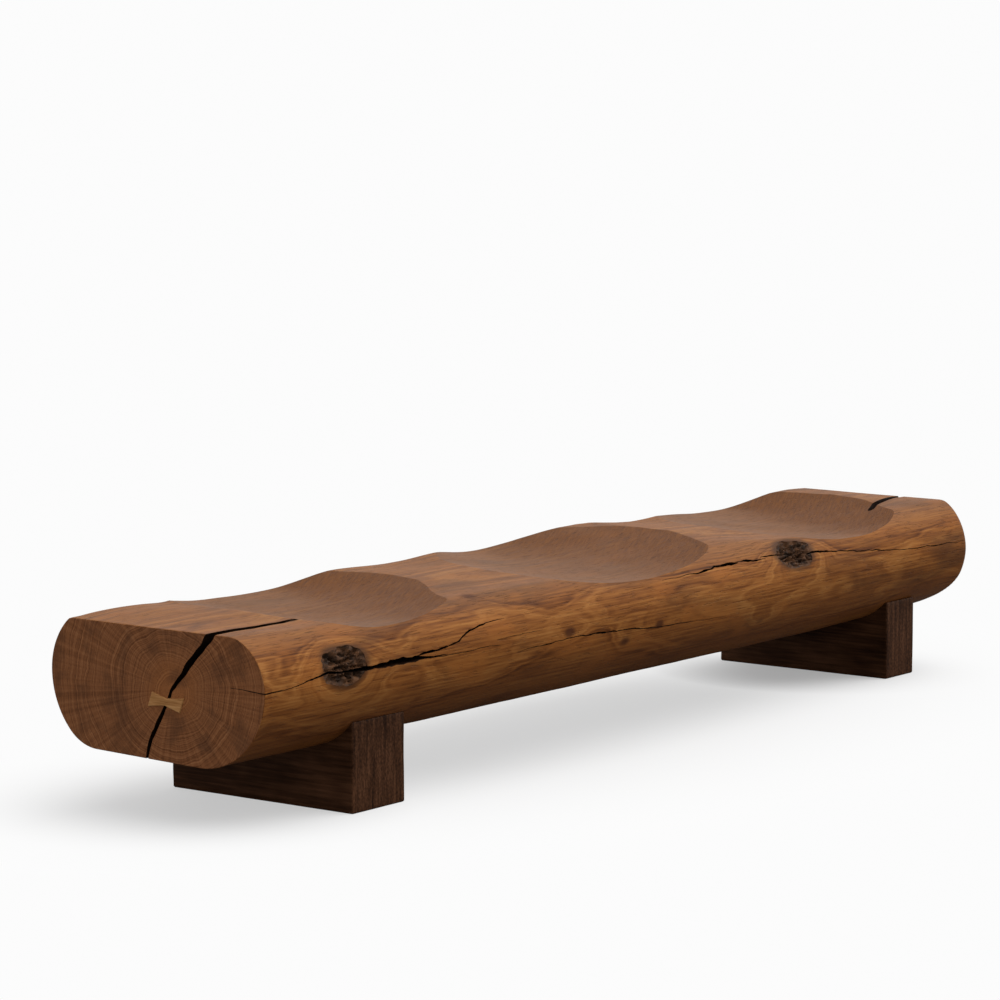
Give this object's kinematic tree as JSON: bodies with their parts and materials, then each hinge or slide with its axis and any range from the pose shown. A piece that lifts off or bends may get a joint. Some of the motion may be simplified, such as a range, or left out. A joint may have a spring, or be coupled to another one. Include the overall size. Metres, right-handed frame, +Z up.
{
  "type": "log bench",
  "caption": "Long rustic bench hewn from one log, flat-topped with scooped seats, a butterfly key across an end check, and dark square bearer blocks let into its underside.",
  "frame": {"origin": "on the floor, at the middle of the whole bench", "axes": "+X along the log, from the end with the butterfly key to the far end; -Y the front, +Z up"},
  "size_m": [2.862, 0.592, 0.4362],
  "materials": {
    "log_wood": "oiled hardwood, warm mid brown, open grain",
    "key_wood": "pale tan hardwood, oiled",
    "block_wood": "dark walnut-brown hardwood, oiled",
    "fixing_steel": "bright zinc plated"
  },
  "bodies": {
    "root": {"log": "log_wood", "butterfly_key": "key_wood", "near_foot": "block_wood", "far_foot": "block_wood", "near_foot_front_lag_screw": "fixing_steel", "near_foot_front_washer": "fixing_steel", "near_foot_back_lag_screw": "fixing_steel", "near_foot_back_washer": "fixing_steel", "far_foot_front_lag_screw": "fixing_steel", "far_foot_front_washer": "fixing_steel", "far_foot_back_lag_screw": "fixing_steel", "far_foot_back_washer": "fixing_steel"}
  },
  "joints": []
}
